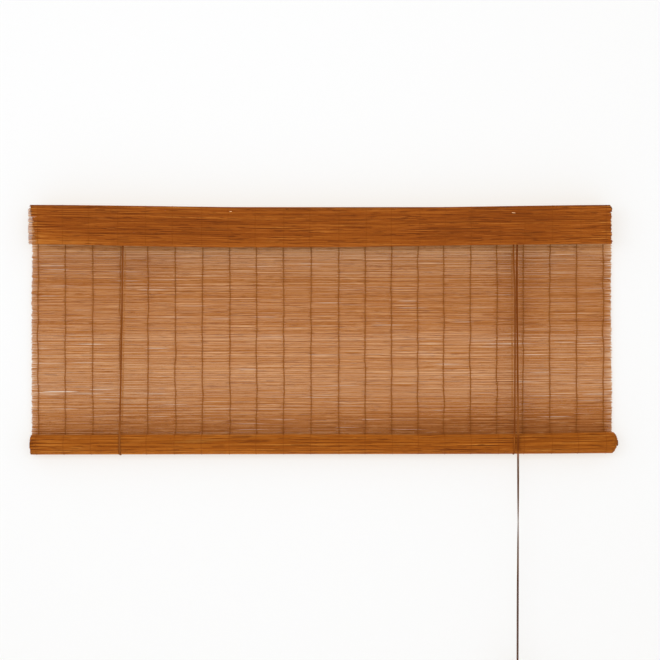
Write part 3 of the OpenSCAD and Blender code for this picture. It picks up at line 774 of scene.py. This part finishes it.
# each stick bows between its threads, a few of them a lot
bow = rng.normal(0, 0.045, (S, cells))
big = rng.random((S, cells)) < 0.045 * np.interp(down, [0, 0.86, 0.93, 1], [1, 1, 0.2, 0.0])[:, None]
bow = np.where(big, rng.choice([-1.0, 1.0], (S, cells)) * rng.uniform(0.15, 0.42, (S, cells)), bow)
wide = blur(rng.normal(size=(S, 1)), 2.0, 0)
shape = np.sin(math.pi * frac)
lift = np.zeros((S, R))
for c in range(cells):
    lift[:, 2 + 4 * c:6 + 4 * c] = bow[:, c:c + 1] * shape
knots = rng.normal(0, 0.03, (S, cells + 1))
lift[:, 2:2 + 4 * cells + 1:4] += knots
lift[:, 0] = rng.normal(0, 0.22, S)
lift[:, 1] = lift[:, 0] * 0.8
lift[:, -1] = rng.normal(0, 0.24, S)
lift[:, -2] = lift[:, -1] * 0.85
Z = Z + lift
half_w = 0.5 * np.clip(np.interp(down, [0, 0.12, 0.139, 0.147, 0.2, 0.35, 0.38, 0.47, 0.5, 0.58, 0.76, 0.84, 0.9, 0.95, 1], [2.06, 2.08, 2.07, 1.965, 1.99, 2.01, 2.02, 2.01, 1.955, 1.95, 1.94, 2.0, 2.05, 2.09, 2.1])[:, None]
                       + np.interp(down, [0.33, 0.37, 0.47, 0.51, 0.8, 0.9], [0, 1, 1, 0, 0, 1])[:, None] * np.interp(X, [-100, 150], [0.0, 0.03]) + rng.normal(0, 0.045, (S, 1)) + blur(rng.normal(size=(S, R)), 4.0, 1) * 0.10, 1.75, 2.1)
loose = np.random.default_rng(12)
taper = np.clip(loose.normal(0.82, 0.10, (2, S)), 0.55, 0.97)
half_w[:, :2] *= np.stack([taper[0], (1 + taper[0]) / 2], 1)
half_w[:, -2:] *= np.stack([(1 + taper[1]) / 2, taper[1]], 1)
half_t = 0.5 * np.clip(rng.normal(1.08, 0.07, (S, 1)) + 0 * Z, 0.9, 1.25)
for _ in range(80):
    over = np.minimum(Z[:-1] - Z[1:] - half_w[:-1] - half_w[1:] - 0.006, 0)
    Z[:-1] -= over / 2
    Z[1:] += over / 2
open_gap = np.clip(Z[:-1] - Z[1:] - half_w[:-1] - half_w[1:], 0, 0.6)
# thin places beside each other, where the wall shows as a fine bright line: row, middle, half length, depth
thin = [(172, -542, 36, 0.36), (129, -340, 28, 0.19), (145, 262, 24, 0.19), (150, -157, 26, 0.19), (170, -460, 24, 0.19), (125, -481, 26, 0.22)]
thin += [(int(loose.integers(36, S - 14)), loose.uniform(-590, 590), loose.uniform(15, 38), loose.uniform(0.04, 0.15)) for _ in range(90)]
for i, xm, reach, depth in thin:
    for k, side in ((i, 1.0), (i + 1, -1.0)):
        less = depth * np.clip(2.5 * (1 - np.abs(X[k] - xm) / reach), 0, 1)
        less = np.minimum(less, half_w[k] - 0.55)
        half_w[k] -= less
        Z[k] += side * less
ybow = np.zeros((S, R))
yb = rng.normal(0, 0.14, (S, cells))
for c in range(cells):
    ybow[:, 2 + 4 * c:6 + 4 * c] = yb[:, c:c + 1] * shape
Y = PANEL_Y + ybow + rng.normal(0, 0.04, (S, 1))
C = np.stack([X, Y, Z], -1)
# sticks beside an open gap catch the light, and each stretch between two threads differs a little
tone = tone_field(rng, S, R, 4.0, spread=0.072, edge=0.14)
stretch_tone = 0.076 * crisp(rng.normal(0, 1, (S, cells))) * np.interp(down, [0.16, 0.3, 0.88, 0.95], [1.3, 1.0, 1.0, 1.4])[:, None]
for c in range(cells):
    tone[:, 2 + 4 * c:6 + 4 * c] += stretch_tone[:, c:c + 1]
tone[:-1] += 0.35 * open_gap
tone[1:] += 0.35 * open_gap
# painted light: the rows just under the valance are made lighter to offset the valance's shadow on them; lower down the
# tone is set row by row
tone += np.interp(down, [0, 0.138, 0.146, 0.156, 0.163, 0.172, 0.185, 0.20, 0.3, 0.45, 0.68, 0.85, 0.93, 0.945, 0.96, 1], [0.44, 0.44, 0.42, 0.36, 0.16, 0.07, 0.13, 0.09, -0.01, 0.0, 0.10, 0.02, -0.07, -0.05, 0.0, 0.0])[:, None]
# painted shadow of the right cords makes the mat a little darker behind them; the mat is also a little darker at each
# thread and low on the right
tone -= np.interp(X, [345, 380, 430, 460], [0, 1, 1, 0]) * np.interp(down, [0.15, 0.45, 0.62, 0.75, 0.85, 0.92, 1], [0.13, 0.13, 0.08, 0.10, 0.14, 0.07, 0.06])[:, None]
tone[:, 2:2 + 4 * cells + 1:4] -= 0.12
tone += 0.005
tone -= np.interp(X, [-330, -270, 340, 400], [0.16, 0, 0, 0.07]) * np.interp(down, [0.06, 0.1, 0.2, 0.33], [0, 1, 1, 0])[:, None]
tone += np.interp(X, [-500, -420], [0.06, 0]) * np.interp(down, [0.8, 0.86, 0.92, 0.95], [0, 1, 1, 0])[:, None]
tone -= np.interp(X, [100, 260], [0, 0.11]) * np.interp(down, [0.78, 0.9], [0, 1])[:, None]
# the back faces get the tone without that painted light under the valance
back_tone = np.clip(tone - np.interp(down, [0, 0.146, 0.163, 0.185, 0.2], [0.36, 0.34, 0.1, 0.06, 0.0])[:, None], 0.02, 0.98)
tone = np.clip(tone, 0.02, 0.98)
UP = np.zeros_like(C); UP[..., 2] = 1.0
FRONT = np.zeros_like(C); FRONT[..., 1] = -1.0
panel = []
for part, lo, hi in (("panel_sticks_upper", 0, 75), ("panel_sticks_middle", 75, 150), ("panel_sticks_lower", 150, S)):
    o = bundle(part, C[lo:hi], UP[lo:hi], FRONT[lo:hi], half_w[lo:hi], half_t[lo:hi], tone[lo:hi], np.arange(lo, hi) + 0.37, [panel_painted_backlight_mat, end_dark], back_tone[lo:hi])
    panel.append(o)
lines = []
wander = np.random.default_rng(9)
sway = blur(wander.normal(size=(S, cells + 1)), 5.0, 0)
sway = 0.6 * sway / sway.std() + wander.normal(0, 0.2, (S, cells + 1))
for c in range(cells + 1):
    k = 2 + 4 * c
    near = np.interp(down, [0.22, 0.36], [1.4, 0.0]) if c == 3 else 0.0
    lines += twine(C[:, k], FRONT[:, k], half_t[:, k], 0.62, THREAD_X[c] + sway[:, c] + near, c, 1.1)
panel_threads = strands("panel_threads", lines, 0.62, thread_mat)
panel.append(panel_threads)
for o in panel:
    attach(o, "head")
    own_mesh(o)
    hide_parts("panel_mat")

# ---------------------------------------------------------------- roll
# ring stations along a stick, denser at its ends
VAL_U = np.concatenate([[0, 0.004, 0.009, 0.016], np.linspace(0.03, 0.97, 55), [0.986, 0.992, 0.997, 1.0]])
RV = len(VAL_U)
rng = np.random.default_rng(33)
theta, radius = [], []
a, r = 1.0 / 20.45, 20.45
while True:
    r = 20.45 - 1.2 * a / (2 * math.pi)
    if r < 6.95:
        break
    theta.append(a)
    radius.append(r)
    a += 2.07 / r
theta, radius = np.array(theta), np.array(radius)
outer = theta < 2 * math.pi * 1.08


def roll_part(name, pick, rings, wob):
    th, rr = theta[pick], radius[pick]
    n = len(th)
    right = np.interp(rr, [7.0, 11.0, 15.5, 18.5, 20.5], [609.2, 608.0, 605.6, 602.8, 600.2]) - 2.0 * np.clip(np.sin(th) - 0.1, 0, 1) + np.clip(rng.normal(0, 0.6, n), -1.4, 1.2)
    left = np.interp(rr, [7.0, 10.0, 16.2, 21.2], [-600.2, -600.0, -599.4, -598.6]) - np.clip(rng.normal(0, 0.8, n), -1.5, 1.5)
    u = (VAL_U if rings == RV else np.linspace(0, 1, rings))[None, :]
    x = left[:, None] + (right - left)[:, None] * u
    rad = rr[:, None] * (1 + np.interp(x, BEND_X, FAT_R) / 20.4) + blur(rng.normal(0, 1, (n, rings)), 2.0, 1) * wob
    ang = th[:, None] + blur(rng.normal(0, 1, (n, rings)), 2.0, 1) * wob * 0.4 / rr[:, None]
    c = np.stack([x, ROLL_Y + rad * np.cos(ang), axis_z(x) - rad * np.sin(ang)], -1)
    tan = np.stack([0 * x, -np.sin(ang), -np.cos(ang)], -1)
    out = np.stack([0 * x, np.cos(ang), -np.sin(ang)], -1)
    aw = 0.5 * np.clip(rng.normal(2.0, 0.06, (n, 1)) + 0 * x, 1.8, 2.06)
    bt = 0.5 * np.clip(rng.normal(1.12, 0.05, (n, 1)) + 0 * x, 0.95, 1.18)
    tn = tone_field(rng, n, rings, max(rings / 48.0, 0.6), 0.505, 0.128, sharp=0.3, broad=0.055 if rings == RV else 0.0, edge=0.15 if rings == RV else 0.0)
    # painted light: sticks toward the top of the roll, and more toward its bottom, are made lighter, standing in for
    # the light falling on them
    tn += 0.18 * np.clip(-np.sin(th) - 0.45, 0, 1)[:, None] + 0.34 * np.clip(np.sin(th) - 0.5, 0, 1)[:, None]
    tn -= np.interp(x, [-560, -300, 120, 200, 400, 470, 560], [-0.06, 0, 0, 0.04, 0.04, 0.02, -0.05])
    if rings == RV:
        tn[:, :4] += rng.normal(-0.12, 0.22, (n, 1)) * np.array([1, 1, 0.8, 0.4])
    tn = np.clip(tn, 0.02, 0.98)
    o = bundle(name, c, tan, out, aw, bt, tn, np.flatnonzero(pick) + 1000.37, [roll_mat_look, end_dark])
    return o, c, out, bt


roll_outer, rc, rout, rbt = roll_part("roll_outer_turn", outer, RV, 0.10)
roll_inner, _, _, _ = roll_part("roll_inner_turns", ~outer, 5, 0.0)
lines = []
for c, x in enumerate(THREAD_X):
    xs = rc[:, :, 0]
    cen = np.stack([np.array([np.interp(x, xs[i], rc[i, :, k]) for i in range(len(rc))]) for k in range(3)], 1)
    nor = rout[:, 30]
    lines += twine(cen, nor, rbt[:, 0], 0.4, x + 1.2 * math.sin(3.1 * c), c)
roll_threads = strands("roll_threads", lines, 0.40, thread_val_mat)
for o in (roll_outer, roll_inner, roll_threads):
    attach(o, "roll"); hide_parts("roll_mat")

# ---------------------------------------------------------------- valance
rng = np.random.default_rng(41)
FRONT_Y, BACK_Y = -39.15, -34.05


def sag(x):
    return -5.3 * (1 - np.minimum(1, np.abs(x) / 600.0) ** 2) ** 2


def val_top(x):
    return 4.5 + sag(x) + np.interp(x, [-600, -200, 50, 235, 450, 600], [0.1, -0.1, -0.2, -0.8, -0.4, 0.0])


def val_foot(x):
    return -75.2 + 1.35 * sag(x) + np.interp(x, [-600, -480, -420, -250, -60, 60, 235, 450, 600], [-0.6, -1.8, -2.2, -2.4, -0.4, 0.4, 1.3, -0.2, -0.4])


N = 38


def layer(y, left, right, order):
    """One hanging layer of the doubled strip, its sticks from the fold down."""
    u = VAL_U[None, :]
    x = left[:, None] + (right - left)[:, None] * u
    s = (np.arange(N) + 0.5)[:, None] / N
    head, foot = val_top(x) - 2.3, val_foot(x) + 0.1
    z = head + (foot - head) * s
    z = z + blur(rng.normal(0, 1, (N, RV)), 2.5, 1) * 0.10
    yy = y + blur(rng.normal(0, 1, (N, RV)), 2.0, 1) * 0.14 + rng.normal(0, 0.05, (N, 1))
    aw = 0.5 * np.clip(rng.normal(2.0, 0.07, (N, 1)) + blur(rng.normal(size=(N, RV)), 3.0, 1) * 0.10, 1.7, 2.1)
    for _ in range(60):
        over = np.minimum(z[:-1] - z[1:] - aw[:-1] - aw[1:] - 0.01, 0)
        z[:-1] -= over / 2
        z[1:] += over / 2
    bt = 0.5 * np.clip(rng.normal(1.08, 0.06, (N, 1)) + 0 * x, 0.9, 1.2)
    return np.stack([x, yy, z], -1), aw, bt


def flat_axes(c):
    up = np.zeros_like(c); up[..., 2] = 1.0
    fr = np.zeros_like(c); fr[..., 1] = -1.0
    return up, fr


s = (np.arange(N) + 0.5) / N
front_left = -596.0 + 11.5 * s + np.clip(rng.normal(0, 1.2, N), -1.6, 2.4)
front_right = 592.4 + np.clip(rng.normal(0, 1.0, N), -2.2, 1.6)
front_right[[N - 3, N - 4]] += np.array([2.6, 1.2])
back_left = -600.4 + np.clip(rng.normal(0, 0.8, N), -1.0, 1.8)
back_left[:3] += np.array([8.0, 6.0, 2.5])
back_right = 591.2 + np.clip(rng.normal(0, 1.2, N), -2.4, 1.8)
fc, fa, fb = layer(FRONT_Y, front_left, front_right, 1)
bc, ba, bb = layer(BACK_Y, back_left, back_right, -1)
# the back layer's ends are loose and taper
ba[:, :4] *= np.array([0.72, 0.80, 0.88, 0.95])
bc[:, :4, 2] += rng.normal(0, 0.3, (N, 1)) * np.array([1.0, 0.8, 0.5, 0.2])
fa[:, :2] *= np.array([0.8, 0.9])
# three sticks over the top of the lath
turn = [(-38.75, -1.2), (-36.6, -0.75), (-34.45, -1.2)]
tc, ta, tb = [], [], []
for i, (y, dz) in enumerate(turn):
    x = np.linspace(-596.6, 590.6 - i * 0.6, RV)
    w = blur(rng.normal(0, 1, RV), 2.5, 0) * 0.06
    tc.append(np.stack([x, np.full(RV, y), val_top(x) + dz + w], -1))
    ta.append(np.full(RV, 1.0))
    tb.append(np.full(RV, 0.52))
tu = [np.broadcast_to(np.array(v, float), (RV, 3)) for v in ((0, 0.62, 0.78), (0, 1, 0), (0, 0.62, -0.78))]
tv = [np.cross(np.array([1.0, 0, 0]), u) for u in tu]
tc, ta, tb, tu, tv = map(np.array, (tc, ta, tb, tu, tv))
fu, fv = flat_axes(fc)
bu, bv = flat_axes(bc)
edge = np.random.default_rng(77)
tone_f = tone_field(rng, N, RV, 1.25, spread=0.10, sharp=0.3, broad=0.05, edge=0.17)
# painted light: the lowest rows of the front layer are made lighter, as light from below would make them
tone_f = 0.5 + (tone_f - 0.5) * np.interp(s, [0.6, 0.8], [1.0, 0.75])[:, None] + np.interp(s, [0, 0.7, 1], [-0.03, -0.01, 0.14])[:, None]
tone_f += np.interp(fc[..., 0], [-560, -420], [0.14, 0.0]) * np.interp(s, [0.35, 0.7], [0, 1])[:, None]
tone_f -= np.interp(fc[..., 0], [150, 260, 420, 500], [0, 0.07, 0.07, 0.0])
tone_f[:, :4] += edge.normal(0.14, 0.2, (N, 1)) * np.array([1, 1, 0.8, 0.4])
tone_f[:, -4:] += edge.normal(0.0, 0.24, (N, 1)) * np.array([0.4, 0.8, 1, 1])
tone_f = np.clip(tone_f, 0.02, 0.98)
tone_b = tone_field(rng, N, RV, 3.0)
# painted light: the back layer's left ends are made lighter, standing in for light through that single layer
tone_b[:, :5] = np.clip(tone_b[:, :5] + edge.normal(0.12, 0.28, (N, 1)), 0.02, 0.98)
tone_t = tone_field(rng, 3, RV, 3.0) - 0.05
tone_t[:, -5:] -= np.array([0.1, 0.3, 0.4, 0.4, 0.4])
tone_t[:, :4] -= np.array([0.2, 0.2, 0.15, 0.1])
tone_t = np.clip(tone_t, 0.02, 1)
val_front = bundle("valance_front_sticks", np.concatenate([tc, fc]), np.concatenate([tu, fu]), np.concatenate([tv, fv]),
                   np.concatenate([ta, fa]), np.concatenate([tb, fb + 0 * fa]), np.concatenate([tone_t, tone_f]),
                   np.arange(N + 3) + 3000.37, [valance_mat_look, end_dark])
val_back = bundle("valance_back_sticks", bc, bu, bv, ba, bb + 0 * ba, tone_b, np.arange(N) + 4000.37, [panel_painted_backlight_mat, end_dark])
lines_f, lines_b = [], []
for c, x in enumerate(THREAD_X):
    x = min(max(x + 2.2 * math.sin(2.3 * c), -581.0), 582.0)

    def at(arr):
        return np.stack([np.array([np.interp(x, arr[i, :, 0], arr[i, :, k]) for i in range(len(arr))]) for k in range(3)], 1)

    lines_f += twine(np.concatenate([at(tc)[::-1], at(fc)]), np.concatenate([tv[::-1, 0], fv[:, 0]]), np.full(N + 3, 0.54), 0.36, x, c)
    lines_b += twine(at(bc), bv[:, 0], np.full(N, 0.54), 0.36, x, c)
val_threads = strands("valance_threads", lines_f, 0.36, thread_val_mat)
val_threads_back = strands("valance_threads_back", lines_b, 0.36, thread_val_mat)
for o in (val_front, val_back, val_threads, val_threads_back):
    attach(o, "head"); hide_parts("valance_mat")

# ---------------------------------------------------------------- valance staples
def staple(name, x, z, half, r, tilt, mat):
    """A flat wire staple: a crown with two rounded shoulders and legs that go back through the mat."""
    y = FRONT_Y - 1.05
    pts = [(-half, 9.0, 0), (-half, 3.0, 0), (-half, 0.7, 0), (-half + 0.2, 0.2, 0), (-half + 0.7, 0, 0), (0, -0.05, 0),
           (half - 0.7, 0, 0), (half - 0.2, 0.2, 0), (half, 0.7, 0), (half, 3.0, 0), (half, 9.0, 0)]
    c, t = math.cos(math.radians(tilt)), math.sin(math.radians(tilt))
    line = smooth_line([(x + a * c, y + b, z + a * t) for a, b, _ in pts], 0.5)
    return cord_mesh(name, [(line, False)], r, mat, 8)


for name, x, z, half, r, tilt, mat in (
        ("valance_staple_left", -186.0, -9.6, 2.2, 0.62, 0.0, bright_wire),
        ("valance_staple_middle", -71.0, -4.6, 2.2, 0.5, 0.0, dull_wire),
        ("valance_staple_right", 392.6, -12.0, 3.1, 0.72, -8.0, bright_wire)):
    o = staple(name, x, z, half, r, tilt, mat)
    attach(o, "head"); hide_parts("valance_staples")

# ---------------------------------------------------------------- CAD parts that show
def dress(names, mat):
    for n in names:
        o = nodes[n]
        o.data.materials.clear()
        o.data.materials.append(mat)


dress(["headboard", "hanging_batten"], board_wood)
dress(["bottom_rod"], rod_wood)
dress(["valance_lath"], lath_wood)
dress(["left_pulley_frame", "right_pulley_frame", "left_pulley_pin", "right_pulley_pin", "panel_staples", "lath_nails"], zinc)
dress(["batten_screws", "pulley_screws", "left_cord_eye", "right_cord_eye"], brass)
dress(["left_pulley_roller", "right_pulley_roller"], nylon)

# ---------------------------------------------------------------- light and backdrop
world = bpy.data.worlds.new("studio")
scene.world = world
world.use_nodes = True
wt = world.node_tree
bg = wt.nodes["Background"]
gen = put(wt, "ShaderNodeTexCoord").outputs["Generated"]
zz = put(wt, "ShaderNodeSeparateXYZ", None, {0: gen}).outputs[2]
zz = put(wt, "ShaderNodeMapRange", None, {"Value": zz, "From Min": -1.0, "From Max": 1.0, "To Min": 0.0, "To Max": 1.0}).outputs[0]
sky = ramp(wt, zz, [(0.0, grey(0.98)), (0.54, grey(0.98)), (0.60, (0.93, 0.935, 0.92, 1.0)), (0.9, grey(0.78))])
wt.links.new(sky, bg.inputs["Color"])
bg.inputs["Strength"].default_value = 1.0


def area(name, loc, target, size, size_y, power):
    d = bpy.data.lights.new(name, "AREA")
    d.shape = "RECTANGLE"
    d.size, d.size_y, d.energy = size, size_y, power
    o = bpy.data.objects.new(name, d)
    scene.collection.objects.link(o)
    o.location = loc
    o.rotation_euler = (Vector(target) - Vector(loc)).to_track_quat("-Z", "Y").to_euler()
    return o


area("front_softbox", (-0.3, -2.6, 0.12), (0, 0, -0.25), 2.6, 0.9, 25.0)


def stage_plane(name, corners, white, glow):
    """A plain pale plane that only shows from its front."""
    m, nt, bsdf = new_mat(name + "_white")
    bsdf.inputs["Base Color"].default_value = (*white, 1.0)
    bsdf.inputs["Roughness"].default_value = 1.0
    bsdf.inputs["Specular IOR Level"].default_value = 0.0
    bsdf.inputs["Emission Color"].default_value = (*glow, 1.0)
    bsdf.inputs["Emission Strength"].default_value = 1.0
    back = put(nt, "ShaderNodeNewGeometry").outputs["Backfacing"]
    mix = put(nt, "ShaderNodeMixShader", None, {0: back, 1: bsdf.outputs[0], 2: put(nt, "ShaderNodeBsdfTransparent").outputs[0]})
    nt.links.new(mix.outputs[0], nt.nodes["Material Output"].inputs["Surface"])
    o = build(name, np.array(corners) * 1000.0, [np.array([[0, 1, 2, 3]])], [m], [False])
    o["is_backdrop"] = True
    return o


stage_plane("backdrop", [(-4.0, 0.0262, -1.96), (4.0, 0.0262, -1.96), (4.0, 0.0262, 2.4), (-4.0, 0.0262, 2.4)], (0.291, 0.359, 0.444), (0.64, 0.56, 0.46))
stage_plane("floor", [(-4.0, -4.6, -1.96), (4.0, -4.6, -1.96), (4.0, 4.6, -1.96), (-4.0, 4.6, -1.96)], (0.80, 0.80, 0.80), (0.15, 0.15, 0.149))


lo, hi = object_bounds()
